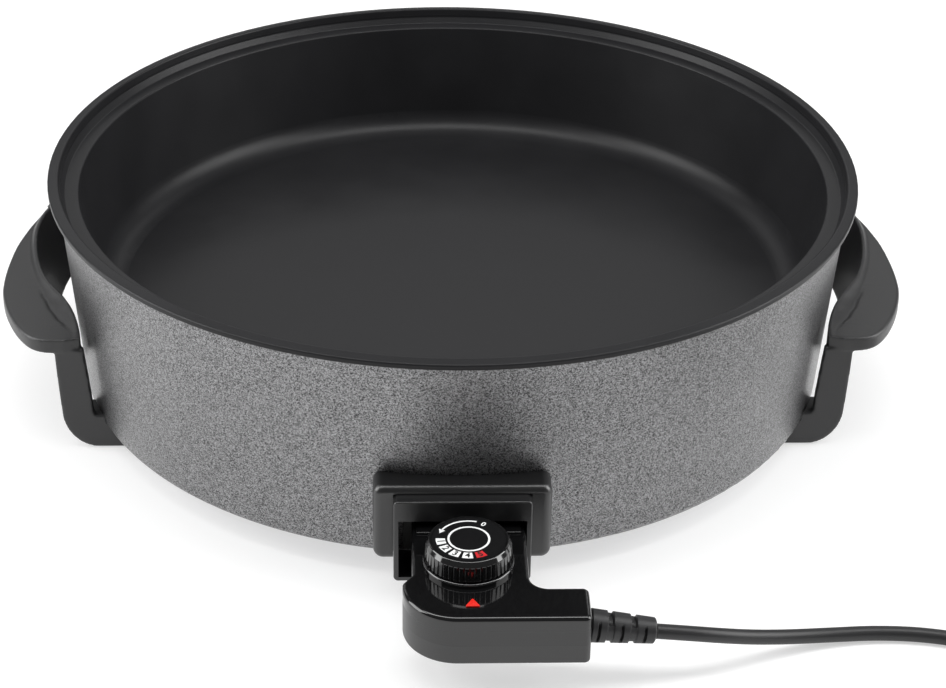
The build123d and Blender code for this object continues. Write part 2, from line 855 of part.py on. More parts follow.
def lower_shell():
    """Bottom half with four screw posts."""
    shell = extrude(Pos(0, 0, control_bottom) * control_outline(0), parting_height - control_bottom)
    shell = fillet(shell.faces().sort_by(Axis.Z)[0].edges(), 1.2)
    hollow = parting_height - control_bottom - shell_wall
    shell -= extrude(Pos(0, 0, control_bottom + shell_wall) * control_outline(shell_wall), hollow)
    for x, y in shell_screw_places:
        height = parting_height - control_bottom
        shell += Pos(x, y, control_bottom + height / 2) * Cylinder(shell_post_radius, height)
        shell -= Pos(x, y, control_bottom) * Cylinder(shell_screw_radius + fit_gap, height * 3)
        shell -= Pos(x, y, control_bottom + 1) * Cylinder(shell_head_radius + fit_gap, 2)
    for cut in nose_holes():
        shell -= cut
    return shell - relief_hole()


def shell_screws():
    """Four small screws that close the shells from below."""
    screws = []
    for x, y in shell_screw_places:
        head = Pos(x, y, control_bottom + 1.2) * Cylinder(shell_head_radius, 1.6)
        head -= Pos(x, y, control_bottom + 0.6) * Box(shell_head_radius * 1.3, 0.7, 0.8)
        length = parting_height + 6 - control_bottom - 1.5
        shank = Pos(x, y, control_bottom + 1.5 + length / 2) * Cylinder(shell_screw_radius, length)
        screws.append(head + shank)
    return Compound(children=screws)


def lamp_prism(grow, low, high):
    """Triangular prism of the pilot lamp, its point towards the dial."""
    a = lamp_side + grow * 3.4
    half_height = a * math.sqrt(3) / 2
    base_y = lamp_y - half_height / 3
    points = [
        (control_x + 1 - a / 2, base_y),
        (control_x + 1 + a / 2, base_y),
        (control_x + 1, base_y + half_height),
    ]
    return prism(points, 0.4 + grow, low, high)


def thermostat_base():
    """Ceramic carrier on the lower shell's floor: clip sockets, probe upstand."""
    low = control_bottom + shell_wall
    body = block((base_low_x, base_high_x), (base_back_y, base_front_y), (low, low + base_thickness + 2.5))
    body += block((-8, 8), (base_front_y - 10, base_front_y), (low, probe_height + 3.4))
    for x, z in pin_places:
        body -= rod(pin_radius + clip_wall + run_gap, (x, base_front_y + 1, z), (x, base_front_y - 9, z))
    seat_end = (0, base_front_y - probe_seat, probe_height)
    body -= rod(probe_radius + fit_gap, (0, base_front_y + 1, probe_height), seat_end)
    body -= Pos(control_x, dial_y, low + base_thickness + 2.5) * Cylinder(spindle_radius + run_gap, 6)
    return body


def terminal_clips():
    """Three sprung tubes that take the pins."""
    clips = []
    for x, z in pin_places:
        start = (x, base_front_y - 8.9, z)
        end = (x, base_front_y - 8.9 + clip_length, z)
        clip = rod(pin_radius + clip_wall + run_gap - 0.05, start, end)
        clips.append(clip - rod(pin_radius + run_gap, (x, base_front_y - 7, z), (x, nose_y + 9, z)))
    return Compound(children=clips)


def probe_rod():
    """Stainless sensor tube, round-ended."""
    probe = rod(probe_radius, (0, base_front_y - 8, probe_height), (0, probe_tip_y, probe_height))
    return fillet(probe.edges().group_by(Axis.Y)[-1], probe_radius * 0.8)


carrier_top = control_bottom + shell_wall + base_thickness + 2.5


def switch_blades():
    """Bimetal blade and contact arm on two brass posts."""
    pieces = []
    for x, gap in ((post_x - 2.5, 2.0), (post_x - 29.0, 1.2)):
        top = carrier_top + gap
        post = Pos(x, base_back_y + 4, carrier_top) * Cylinder(2.4, gap, align=upright)
        blade = block((x - 2.5, x + 2.5), (base_back_y + 1, base_back_y + 21.5), (top, top + blade_sheet))
        rivet = Pos(x, base_back_y + 19.5, top + blade_sheet) * Cylinder(1.4, 0.8, align=upright)
        pieces.append(post + blade + rivet)
    return Compound(children=pieces)


def strain_relief():
    """Slotted rubber taper over the cord, with a bush and flange inside the shells."""
    axis = Plane(origin=relief_root, z_dir=relief_direction)
    length = (Vector(*relief_tip) - Vector(*relief_root)).length
    taper = loft(
        [axis.offset(-2.0) * Circle(relief_root_radius), axis.offset(length) * Circle(relief_tip_radius)]
    )
    taper = fillet(taper.edges().filter_by(GeomType.CIRCLE), 0.9)
    taper -= block((0, body_right), (body_front_y, body_back_y), (0, rim_height))
    pitch = length / (relief_slots + 1)
    for i in range(relief_slots):
        for turn in (0, 180):
            lean = 90 * (i % 2)
            cut = Pos(relief_root_radius + 1.5, 0, pitch * (i + 1)) * Box(8.0, 26.0, relief_slot)
            taper -= axis.location * Rot(0, 0, turn + lean) * cut
    bush = extrude(axis.offset(-shell_wall - 2.2) * Circle(relief_bush_radius), shell_wall + 3.2)
    flange = extrude(axis.offset(-shell_wall - 4.4) * Circle(relief_flange_radius), 2.4)
    return taper + bush + flange


def cord_clamp():
    """Small bridge that pinches the cord's end inside the shells."""
    low = control_bottom + shell_wall
    across = (body_right - clamp_far, body_right - clamp_near)
    along = (relief_root[1] - clamp_half, relief_root[1] + clamp_half)
    return block(across, along, (low, relief_root[2] + clamp_rise))


save(upper_shell(), "control_upper_shell")
save(lower_shell(), "control_lower_shell")
save(shell_screws(), "shell_screws")
save(thermostat_base(), "thermostat_base")
save(terminal_clips(), "terminal_clips")
save(probe_rod(), "probe_rod")
save(switch_blades(), "switch_blades")
save(lamp_prism(0, control_top - lamp_depth, control_top + lamp_proud), "pilot_lens")
neon = rod(neon_radius, (control_x + 1 - neon_length / 2, lamp_y, neon_height),
           (control_x + 1 + neon_length / 2, lamp_y, neon_height))
save(fillet(neon.edges().filter_by(GeomType.CIRCLE), 1.2), "neon_lamp")
save(strain_relief(), "strain_relief")
save(cord_clamp(), "cord_clamp")


# ================= dial =================

def dial_knob():
    """Hollow fluted knob with a hub for the spindle."""
    knob = turned(
        [
            (0, dial_skirt_low),
            (dial_skirt_radius, dial_skirt_low),
            (dial_skirt_radius - 0.5, dial_skirt_high),
            (dial_face_radius, dial_top),
            (0, dial_top),
        ],
        [0, 0.4, 0.8, 1.0, 0],
    )
    base = Pos(0, 0, dial_skirt_low)
    ceiling = dial_top - dial_wall - dial_skirt_low
    knob -= base * Cylinder(dial_skirt_radius - dial_wall - 1, ceiling - print_disc, align=upright)
    knob += base * Cylinder(hub_radius, ceiling, align=upright)
    socket_depth = spindle_top - dial_skirt_low + press_gap
    knob -= base * Cylinder(spindle_radius + press_gap, socket_depth, align=upright)
    knob -= Pos(0, 0, dial_top) * Cylinder(print_disc_radius + fit_gap, print_disc * 2)
    flute = Cylinder(flute_radius, dial_skirt_high + 1 - dial_skirt_low, align=upright)
    flutes = [
        Rot(0, 0, i * 360 / flute_count) * Pos(dial_skirt_radius + 0.15, 0, dial_skirt_low - 0.5) * flute
        for i in range(flute_count)
    ]
    knob -= flutes
    return Pos(control_x, dial_y, 0) * knob


def dial_spindle():
    """Brass shaft from the knob's hub down into the carrier."""
    low = carrier_top - 2.6
    return Pos(control_x, dial_y, low) * Cylinder(spindle_radius, spindle_top - low, align=upright)


def dial_collar():
    """Low ring on the shell round the dial's skirt."""
    ring = Cylinder(collar_radius, collar_height, align=upright)
    ring = fillet(ring.edges().group_by(Axis.Z)[-1], 0.9)
    ring -= Cylinder(collar_radius - collar_wall, collar_height * 3)
    return Pos(control_x, dial_y, control_top) * ring


save(dial_knob(), "dial_knob")
plate_disc = Cylinder(print_disc_radius, print_disc)
save(Pos(control_x, dial_y, dial_top - print_disc / 2) * plate_disc, "dial_plate")
save(dial_spindle(), "dial_spindle")
save(dial_collar(), "dial_collar")


# ================= supply cord and mains plug =================

def cord_coil():
    """Outer shape of the stored turns: one ring, two turns wide and two high."""
    half = cord_radius * coil_layers
    inner = coil_radius - half
    outer = coil_radius + half
    ring = turned(
        [(inner, 0), (outer, 0), (outer, half * 2), (inner, half * 2)],
        cord_radius * 0.8,
    )
    return Pos(coil_centre[0], coil_centre[1], 0) * ring


def mains_plug():
    """Round two-pin plug lying on its side, grip and neck towards the cord."""
    profile = [
        (0, 0),
        (cord_radius + 1.6, 0),
        (cord_radius + 2.4, plug_neck),
        (plug_radius * 0.62, plug_neck + 7),
        (plug_radius * 0.78, plug_neck + plug_length - 12),
        (plug_radius, plug_neck + plug_length - 9),
        (plug_radius, plug_neck + plug_length),
        (0, plug_neck + plug_length),
    ]
    body = turned(profile, [0, 1, 6, 5, 2, 1.5, 1.5, 0])
    return Pos(plug_x, plug_back_y, plug_radius) * Rot(-90, 0, 0) * body


def plug_pins():
    """Two round pins, upright over each other, with rounded tips."""
    face_y = plug_back_y + plug_neck + plug_length
    pins = []
    for side in (-1, 1):
        z = plug_radius + side * plug_pin_spacing / 2
        pin = rod(plug_pin_radius, (plug_x, face_y, z), (plug_x, face_y + plug_pin_length, z))
        pins.append(fillet(pin.edges().group_by(Axis.Y)[-1], plug_pin_radius * 0.7))
    return Compound(children=pins)


save(cord_tube(cord_route), "supply_cord")
save(cord_coil(), "cord_coil")
save(cord_tube(tail_route), "cord_tail")
save(mains_plug(), "mains_plug")
save(plug_pins(), "plug_pins")
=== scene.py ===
import math

import bmesh
import bpy
from mathutils import Matrix, Vector


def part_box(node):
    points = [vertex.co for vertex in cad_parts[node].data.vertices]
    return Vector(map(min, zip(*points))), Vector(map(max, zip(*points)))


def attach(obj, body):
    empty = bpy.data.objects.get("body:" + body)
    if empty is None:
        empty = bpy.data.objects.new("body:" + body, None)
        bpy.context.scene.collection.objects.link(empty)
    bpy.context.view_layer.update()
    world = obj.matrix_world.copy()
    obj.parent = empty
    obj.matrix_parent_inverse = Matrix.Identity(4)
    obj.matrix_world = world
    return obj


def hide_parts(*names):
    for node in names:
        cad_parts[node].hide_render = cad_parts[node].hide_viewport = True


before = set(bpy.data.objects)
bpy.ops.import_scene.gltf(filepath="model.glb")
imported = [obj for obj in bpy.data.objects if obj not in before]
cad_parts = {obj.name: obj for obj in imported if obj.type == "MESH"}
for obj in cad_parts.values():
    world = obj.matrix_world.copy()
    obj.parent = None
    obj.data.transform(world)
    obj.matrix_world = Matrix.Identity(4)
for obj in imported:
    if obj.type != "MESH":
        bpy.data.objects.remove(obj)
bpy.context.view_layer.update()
scene = bpy.context.scene
scene.view_settings.view_transform = "Standard"
MM = 0.001
SHIFT_Y = 0.03925  # the bowl's axis stands this far behind the row frame's origin


# ======== Camera and studio ========
# A product table: white sweep under the skillet, one wide lamp on each side, a soft one behind and
# a long one overhead that draws a fine bright line along every rounded top edge.

camera_data = bpy.data.cameras.new("camera")
camera_data.lens = 87.53
camera_data.sensor_width = 36.0
camera_data.clip_start = 0.05
camera_data.clip_end = 50.0
camera = bpy.data.objects.new("camera", camera_data)
scene.collection.objects.link(camera)
camera_place = Vector((-0.03151, -1.08884, 0.67694))
# In radians: how far the camera looks down, turns to the right and leans to one side.
pitch = 0.53107
heading = 0.038695
tilt = 0.01672
ahead = Vector(
    (math.sin(heading) * math.cos(pitch), math.cos(heading) * math.cos(pitch), -math.sin(pitch))
)
level = Vector((math.cos(heading), -math.sin(heading), 0.0))
above = level.cross(ahead)
across = level * math.cos(tilt) + above * math.sin(tilt)
upward = above * math.cos(tilt) - level * math.sin(tilt)
camera_turn = Matrix((across, upward, -ahead)).transposed().to_4x4()
camera.matrix_world = Matrix.Translation(camera_place) @ camera_turn
scene.camera = camera


def lamp(name, place, target, width, height, watts):
    """A rectangular soft lamp that faces its target."""
    data = bpy.data.lights.new(name, "AREA")
    data.shape = "RECTANGLE"
    data.size = width
    data.size_y = height
    data.energy = watts
    unit = bpy.data.objects.new(name, data)
    scene.collection.objects.link(unit)
    unit.location = place
    unit.rotation_euler = (Vector(target) - Vector(place)).to_track_quat("-Z", "Y").to_euler()
    return unit


lamp("lamp_left", (-1.5, -0.1, 0.8), (0, 0, 0.05), 1.1, 1.3, 23)
lamp("lamp_right", (1.5, -0.1, 0.8), (0, 0, 0.05), 1.1, 1.3, 23)
lamp("lamp_back", (-0.1, 1.35, 1.15), (0, 0.05, 0.08), 2.2, 0.8, 5)
lamp("lamp_top", (0.0, -0.15, 1.5), (0, -0.1, 0.05), 2.0, 0.45, 16)

ROOM_LIGHT = 0.15
world = bpy.data.worlds.new("studio")
scene.world = world
world.use_nodes = True
room = world.node_tree.nodes["Background"]
room.inputs["Color"].default_value = (1, 1, 1, 1)
room.inputs["Strength"].default_value = ROOM_LIGHT


def seen_directly(tree):
    """1 for rays from the camera and for those by which metal and glass show the background."""
    rays = tree.nodes.new("ShaderNodeLightPath")
    found = rays.outputs["Is Camera Ray"]
    for label in ("Is Glossy Ray", "Is Transmission Ray"):
        either = tree.nodes.new("ShaderNodeMath")
        either.operation = "MAXIMUM"
        tree.links.new(found, either.inputs[0])
        tree.links.new(rays.outputs[label], either.inputs[1])
        found = either.outputs[0]
    return found


SWEEP_GREY = 0.58
SWEEP_LIFT = 0.5  # lifts the lit paper to white where it is seen, and leaves the shadows on it
reach = 4.0
sweep_mesh = bpy.data.meshes.new("sweep")
sweep_mesh.from_pydata(
    [(-reach, -reach, 0), (reach, -reach, 0), (reach, reach, 0), (-reach, reach, 0)], [], [(0, 1, 2, 3)]
)
sweep = bpy.data.objects.new("sweep", sweep_mesh)
scene.collection.objects.link(sweep)
paper = bpy.data.materials.new("white_sweep")
paper.use_nodes = True
tree = paper.node_tree
shader = tree.nodes["Principled BSDF"]
shader.inputs["Base Color"].default_value = (SWEEP_GREY, SWEEP_GREY, SWEEP_GREY, 1)
shader.inputs["Roughness"].default_value = 0.75
shader.inputs["Specular IOR Level"].default_value = 0.2
lift = tree.nodes.new("ShaderNodeMath")
lift.operation = "MULTIPLY"
lift.inputs[1].default_value = SWEEP_LIFT
tree.links.new(seen_directly(tree), lift.inputs[0])
shader.inputs["Emission Color"].default_value = (1, 1, 1, 1)
tree.links.new(lift.outputs[0], shader.inputs["Emission Strength"])
sweep_mesh.materials.append(paper)


# ======== Supply cord ========
# A round two-core mains lead, 7.2 mm across and about 1.1 m long. It leaves the strain relief,
# droops to the table and is put away in a neat coil beside the skillet.

CORD_DIAMETER = 7.2
COIL_CENTRE = (294.0, -234.0)
COIL_START = -94  # degrees, where the lead meets the coil
cord_run = [
    (88.5, -281.5, 25.0), (103.4, -281.03, 23.3), (119.5, -277.4, 18.9), (136.5, -271.0, 12.9),
    (155.0, -264.4, 7.9), (176.0, -258.8, 4.6), (199.0, -256.2, 3.7), (223.0, -258.2, 3.6),
    (246.0, -265.0, 3.6), (269.0, -274.0, 3.6),
]
coil_turns = 3.29
coil_steps = 16
# By number of turns: the radius of the lane that the lead lies in, and its height.
lanes = [(0.0, 43.2), (0.72, 43.2), (0.86, 36.0), (1.78, 36.0), (1.95, 39.6), (coil_turns, 40.6)]
floors = [(0.0, 3.6), (1.58, 3.6), (1.76, 10.9), (coil_turns, 10.9)]


def along(stations, at):
    """The value at a place between listed stations, eased so that the line stays smooth."""
    for (a, low), (b, high) in zip(stations, stations[1:]):
        if at <= b:
            share = max(0.0, (at - a) / (b - a))
            return low + (high - low) * share * share * (3 - 2 * share)
    return stations[-1][1]


turn_count = int(coil_turns * coil_steps)
for i in range(turn_count + 1):
    at = coil_turns * i / turn_count
    angle = math.radians(COIL_START + 360 * at)
    lane = along(lanes, at)
    x = COIL_CENTRE[0] + lane * math.cos(angle)
    y = COIL_CENTRE[1] + lane * math.sin(angle)
    cord_run.append((x, y, along(floors, at)))
cord_run += [
    (328.4, -206.0, 11.0), (321.6, -190.5, 12.4), (314.6, -177.0, 14.6), (310.0, -163.0, 17.0),
    (309.0, -148.0, 18.0),
]

cord_data = bpy.data.curves.new("supply_cord_line", "CURVE")
cord_data.dimensions = "3D"
cord_data.bevel_depth = 1.0
cord_data.bevel_resolution = 8
cord_data.resolution_u = 6
cord_data.use_fill_caps = True
line = cord_data.splines.new("NURBS")
line.points.add(len(cord_run) - 1)
for point, (x, y, z) in zip(line.points, cord_run):
    point.co = (x * MM, y * MM + SHIFT_Y, z * MM, 1.0)
    point.radius = CORD_DIAMETER / 2 * MM
line.order_u = 3
line.use_endpoint_u = True
mains_lead = bpy.data.objects.new("mains_lead", cord_data)
scene.collection.objects.link(mains_lead)
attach(mains_lead, "control")
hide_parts("supply_cord", "cord_coil", "cord_tail")


# ======== Moulded surface ========
# Most visible pieces are black mouldings, never quite even in tone or gloss, with a fine grain.
# One node group gives them all that; the pieces differ by its numbers.


def new_group(name, floats, colors=()):
    """An empty shader node group with its named inputs, and Color, Roughness and Normal out."""
    group = bpy.data.node_groups.new(name, "ShaderNodeTree")
    for label, value in colors:
        socket = group.interface.new_socket(label, in_out="INPUT", socket_type="NodeSocketColor")
        socket.default_value = (*value, 1)
    for label, value in floats:
        socket = group.interface.new_socket(label, in_out="INPUT", socket_type="NodeSocketFloat")
        socket.default_value = value
    for label, kind in (("Color", "Color"), ("Roughness", "Float"), ("Normal", "Vector")):
        group.interface.new_socket(label, in_out="OUTPUT", socket_type="NodeSocket" + kind)
    return group


def add(tree, kind, **settings):
    """A shader node with its settings."""
    node = tree.nodes.new(kind)
    for key, value in settings.items():
        setattr(node, key, value)
    return node


def noise(group, place, scale, detail):
    """A noise texture on the piece's own coordinates; scale is a number or a socket."""
    texture = add(group, "ShaderNodeTexNoise")
    texture.inputs["Detail"].default_value = detail
    group.links.new(place.outputs["Object"], texture.inputs["Vector"])
    if isinstance(scale, bpy.types.NodeSocket):
        group.links.new(scale, texture.inputs["Scale"])
    else:
        texture.inputs["Scale"].default_value = scale
    return texture.outputs["Fac"]


def centred(group, fac, amount, around=1.0):
    """The value around, moved up and down by a texture that runs from 0 to 1."""
    shift = add(group, "ShaderNodeMath", operation="SUBTRACT")
    shift.inputs[1].default_value = 0.5
    group.links.new(fac, shift.inputs[0])
    scaled = add(group, "ShaderNodeMath", operation="MULTIPLY_ADD")
    group.links.new(shift.outputs[0], scaled.inputs[0])
    group.links.new(amount, scaled.inputs[1])
    if isinstance(around, bpy.types.NodeSocket):
        group.links.new(around, scaled.inputs[2])
    else:
        scaled.inputs[2].default_value = around
    return scaled.outputs[0]


def moulded_surface():
    """Fine grain of a moulding: slight mottling of tone and gloss, and relief."""
    group = new_group(
        "moulded_surface",
        [
            ("Grain", 1200.0), ("Relief", 0.00002), ("Mottle", 0.15), ("Roughness", 0.5),
            ("Gloss Change", 0.08),
        ],
        [("Color", (0.05, 0.05, 0.05))],
    )
    start = add(group, "NodeGroupInput")
    end = add(group, "NodeGroupOutput")
    place = add(group, "ShaderNodeTexCoord")
    broad = noise(group, place, 28.0, 4.0)
    tint = add(group, "ShaderNodeVectorMath", operation="SCALE")
    group.links.new(start.outputs["Color"], tint.inputs[0])
    group.links.new(centred(group, broad, start.outputs["Mottle"]), tint.inputs["Scale"])
    gloss = centred(group, broad, start.outputs["Gloss Change"], start.outputs["Roughness"])
    bump = add(group, "ShaderNodeBump")
    group.links.new(start.outputs["Relief"], bump.inputs["Distance"])
    group.links.new(noise(group, place, start.outputs["Grain"], 3.0), bump.inputs["Height"])
    group.links.new(tint.outputs[0], end.inputs["Color"])
    group.links.new(gloss, end.inputs["Roughness"])
    group.links.new(bump.outputs[0], end.inputs["Normal"])
    return group


MOULDED = moulded_surface()


def finish_of(
    name, group, metallic=0.0, specular=0.5, coat=0.0, coat_roughness=0.1, color=None, **values
):
    """A material whose colour, roughness and normal come from a surface group."""
    material = bpy.data.materials.new(name)
    material.use_nodes = True
    tree = material.node_tree
    shader = tree.nodes["Principled BSDF"]
    shader.inputs["Metallic"].default_value = metallic
    shader.inputs["Specular IOR Level"].default_value = specular
    shader.inputs["Coat Weight"].default_value = coat
    shader.inputs["Coat Roughness"].default_value = coat_roughness
    surface = add(tree, "ShaderNodeGroup", node_tree=group)
    if color is not None:
        surface.inputs["Color"].default_value = (*color, 1)
    for label, value in values.items():
        surface.inputs[label.replace("_", " ").title()].default_value = value
    tree.links.new(surface.outputs["Color"], shader.inputs["Base Color"])
    tree.links.new(surface.outputs["Roughness"], shader.inputs["Roughness"])
    tree.links.new(surface.outputs["Normal"], shader.inputs["Normal"])
    return material


def moulded(name, color, roughness, **values):
    """A moulded, plated or coated finish with fine grain."""
    return finish_of(name, MOULDED, color=color, roughness=roughness, **values)


# ======== Cord sheath and mains plug ========
# Soft black PVC over the lead. The plug is moulded onto it in the same PVC, round two
# nickel-plated brass pins.


def dress(node, material):
    """A CAD piece takes a finish."""
    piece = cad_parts[node]
    piece.data.materials.clear()
    piece.data.materials.append(material)
    return piece


sheath = moulded("cord_sheath", (0.02, 0.02, 0.021), 0.42, grain=2200.0)
cord_data.materials.append(sheath)
dress("mains_plug", sheath)
nickel = moulded(
    "nickel_plate", (0.74, 0.71, 0.66), 0.18, grain=3000.0, relief=0.000004, mottle=0.08, metallic=1.0
)
dress("plug_pins", nickel)


# ======== Bowl ========
# Die-cast aluminium with a sprayed non-stick coating: satin black, a faint orange peel and a
# tone and gloss that wander slightly in broad patches.

coating = moulded(
    "bowl_coating", (0.014, 0.014, 0.0152), 0.38,
    grain=1500.0, relief=0.00006, mottle=0.5, gloss_change=0.12, specular=0.25,
)
dress("bowl", coating)


# ======== Housing ========
# A rolled steel wall in hammered silver-grey paint: cells about half a millimetre across, with a
# metallic flake that sparkles from cell to cell.


def hammered_surface():
    """Hammer paint: rounded cells that tip the light, and flake that differs from cell to cell."""
    group = new_group(
        "hammered_surface",
        [
            ("Cells", 900.0), ("Relief", 0.0001), ("Flake", 0.35), ("Roughness", 0.35),
            ("Gloss Change", 0.15),
        ],
        [("Color", (0.3, 0.3, 0.3))],
    )
    start = add(group, "NodeGroupInput")
    end = add(group, "NodeGroupOutput")
    place = add(group, "ShaderNodeTexCoord")
    cells = add(group, "ShaderNodeTexVoronoi", feature="F1")
    group.links.new(place.outputs["Object"], cells.inputs["Vector"])
    group.links.new(start.outputs["Cells"], cells.inputs["Scale"])
    fine = noise(group, place, 2600.0, 2.0)
    grey = add(group, "ShaderNodeSeparateColor")
    group.links.new(cells.outputs["Color"], grey.inputs[0])
    tint = add(group, "ShaderNodeVectorMath", operation="SCALE")
    group.links.new(start.outputs["Color"], tint.inputs[0])
    group.links.new(centred(group, grey.outputs[0], start.outputs["Flake"]), tint.inputs["Scale"])
    gloss = centred(group, fine, start.outputs["Gloss Change"], start.outputs["Roughness"])
    height = add(group, "ShaderNodeMath", operation="MULTIPLY_ADD")
    height.inputs[1].default_value = 0.35  # the fine ripple, as a share of the cells' depth
    group.links.new(fine, height.inputs[0])
    group.links.new(cells.outputs["Distance"], height.inputs[2])
    bump = add(group, "ShaderNodeBump")
    group.links.new(start.outputs["Relief"], bump.inputs["Distance"])
    group.links.new(height.outputs[0], bump.inputs["Height"])
    group.links.new(tint.outputs[0], end.inputs["Color"])
    group.links.new(gloss, end.inputs["Roughness"])
    group.links.new(bump.outputs[0], end.inputs["Normal"])
    return group


hammer = finish_of(
    "hammer_paint", hammered_surface(), metallic=0.9, coat=0.1, coat_roughness=0.2,
    color=(0.2, 0.2, 0.2035), roughness=0.32, cells=2300.0, relief=0.00007, flake=1.8,
)
dress("housing", hammer)


# ======== Base, element and screws ========
# Zinc-plated pressings close the housing underneath, and a sheathed element is clamped to the
# bowl. The thermostat's small parts are brass on a ceramic carrier. Rubber pads sit in the feet.

zinc = moulded("zinc_plate", (0.55, 0.55, 0.57), 0.32, grain=900.0, metallic=1.0)
for node in (
    "base_plate", "base_screws", "element_clamps", "hood_screws", "handle_screws", "shell_screws"
):
    dress(node, zinc)
rubber = moulded("black_rubber", (0.018, 0.018, 0.019), 0.7, grain=1400.0)
for node in ("rim_gasket", "foot_pads"):
    dress(node, rubber)
steel = moulded("element_steel", (0.4, 0.37, 0.34), 0.4, metallic=1.0)
for node in ("heating_element", "probe_rod"):
    dress(node, steel)
ceramic = moulded("ceramic", (0.75, 0.71, 0.63), 0.6)
dress("thermostat_base", ceramic)
dark_ceramic = moulded("dark_ceramic", (0.02, 0.019, 0.018), 0.6)
dress("terminal_block", dark_ceramic)
dress("terminal_pins", nickel)
brass = moulded("brass", (0.68, 0.48, 0.2), 0.28, metallic=1.0)
for node in ("terminal_clips", "switch_blades", "dial_spindle"):
    dress(node, brass)


# ======== Handles ========
# Each handle is one black phenolic moulding: a crescent grip whose raised inner edge is a finger
# guard, scooped beside it for the thumb, on two angle-shaped legs that end in flat feet.

phenolic = moulded(
    "phenolic", (0.026, 0.026, 0.027), 0.42, grain=1100.0, relief=0.00008, mottle=0.45, specular=0.6
)
GUARD_WALL = 4.5
GUARD_LOW = 29.0
GUARD_CREST = 70.4
GRIP_TOP = 67.0
GRIP_LOW = 59.0
LEG_FACE = 84.7  # front of the front leg and back of the rear one
LEG_WRAP = 74.0  # where the leg's outer side ends
LEG_OUTSIDE = 209.4
FOOT_WIDTH = 17.0
FOOT_LOW = 0.3
FOOT_TOP = 13.0
FOOT_END = 112.0
HEEL_REACH = 18.4  # the rounded outer corner of a foot, along X
HEEL_RISE = 22.0
GUARD_LEAN = 12.5  # how far the guard's lower edge leans in at the rear
LEAN_AT_GRIP = 0.27  # the part of that lean that is left at the grip's underside
# Pairs of plan points, rear to front: middle of the finger guard, and the grip's outer edge.
grip_stations = [
    ((228.6, 68.5), (230.4, 69.8)), ((231.0, 64.0), (233.2, 64.6)), ((233.4, 57.0), (235.8, 57.0)),
    ((234.7, 50.0), (237.9, 50.0)), ((235.6, 42.0), (240.2, 42.0)), ((235.8, 33.0), (242.2, 33.0)),
    ((234.9, 22.0), (244.1, 22.0)), ((233.2, 10.0), (245.2, 10.0)), ((230.6, -2.5), (245.8, -3.0)),
    ((226.9, -15.0), (245.8, -16.0)), ((222.2, -26.5), (245.0, -29.0)), ((216.9, -35.5), (243.0, -40.0)),
    ((211.3, -45.0), (239.7, -51.5)), ((206.0, -56.0), (235.2, -63.0)), ((202.6, -66.0), (230.6, -72.0)),
    ((200.6, -74.0), (225.6, -79.2)), ((199.6, -79.2), (221.3, -82.9)), ((199.4, -82.6), (216.0, -85.0)),
    ((199.6, -83.6), (209.0, -85.2)), ((200.2, -84.0), (203.5, -85.2)),
]
# Along the guard, front to rear by Y: width of the scoop beside the crest, how far the guard's lower
# edge leans in, the height of that edge, and how far the crest rises.
scoop_widths = [
    (-76, 0.5), (-68, 3.0), (-60, 5.6), (-50, 6.2), (-39, 4.6), (-26, 1.2), (-12, 0.4), (70, 0.4)
]
guard_leans = [(-70, 0.0), (60, GUARD_LEAN)]
guard_lows = [(-74, 53.0), (-36, 29.0)]
crest_rises = [(-82, 0.1), (-70, 0.7), (-60, 1.6), (-50, 2.7), (-40, 3.3), (70, 3.4)]


def smooth_between(stations, at):
    """A point on the smooth curve through listed points; at runs from 0 to the last index."""
    i = min(int(at), len(stations) - 2)
    q = at - i
    a, b = stations[i], stations[i + 1]
    before = stations[max(i - 1, 0)]
    after = stations[min(i + 2, len(stations) - 1)]
    found = []
    for p0, p1, p2, p3 in zip(before, a, b, after):
        square = 2 * p0 - 5 * p1 + 4 * p2 - p3
        cube = 3 * p1 - p0 - 3 * p2 + p3
        found.append(0.5 * (2 * p1 + (p2 - p0) * q + square * q * q + cube * q**3))
    return found


def arc(centre_x, centre_y, radius, first, last, steps):
    """Points on a circular arc, angles in degrees."""
    turn = [math.radians(first + (last - first) * i / steps) for i in range(steps + 1)]
    return [(centre_x + radius * math.cos(a), centre_y + radius * math.sin(a)) for a in turn]


def grip_section(width, y):
    """Section across the grip from the guard's middle outward: (distance, height) all round.
    The guard leans in below the grip, and a scoop falls from its crest to the grip's flat."""
    half = GUARD_WALL / 2
    rise = along(crest_rises, y)
    scoop = min(along(scoop_widths, y), max(width - half - 2.0, 0.2))
    lean = along(guard_leans, y)
    low = along(guard_lows, y)
    lean *= (GRIP_LOW - low) / (GRIP_LOW - GUARD_LOW)
    under = half * min(1.0, width / 6)
    ridge = 1.1
    crest = GRIP_TOP + rise
    ring = [(-half - lean, low + 1), (-half - lean * LEAN_AT_GRIP, GRIP_LOW)]
    ring += arc(ridge - half, crest - ridge, ridge, 180, 60, 5)
    dip = 0.9 * min(1.0, scoop / 5.0)
    for i in range(1, 11):
        q = i / 10
        fall = (rise + dip) * (1 - q) ** 1.35 - dip
        ring.append((ridge * 1.5 - half + (half + scoop) * q, GRIP_TOP + fall))
    lip = ridge * 1.5 + scoop
    if lip + 2.7 < width:
        ring.append((lip + 1.0, GRIP_TOP))
    edge = min(1.7, width * 0.3)
    ring += arc(width - edge, GRIP_TOP - edge, edge, 90, 0, 5)
    ring += arc(width - 0.9, GRIP_LOW + 0.9, 0.9, 0, -90, 3)
    ring += [(under - lean * LEAN_AT_GRIP, GRIP_LOW), (under - lean, low + 1)]
    ring += arc(-lean, low + 1, under, 0, -180, 4)[1:-1]
    return ring


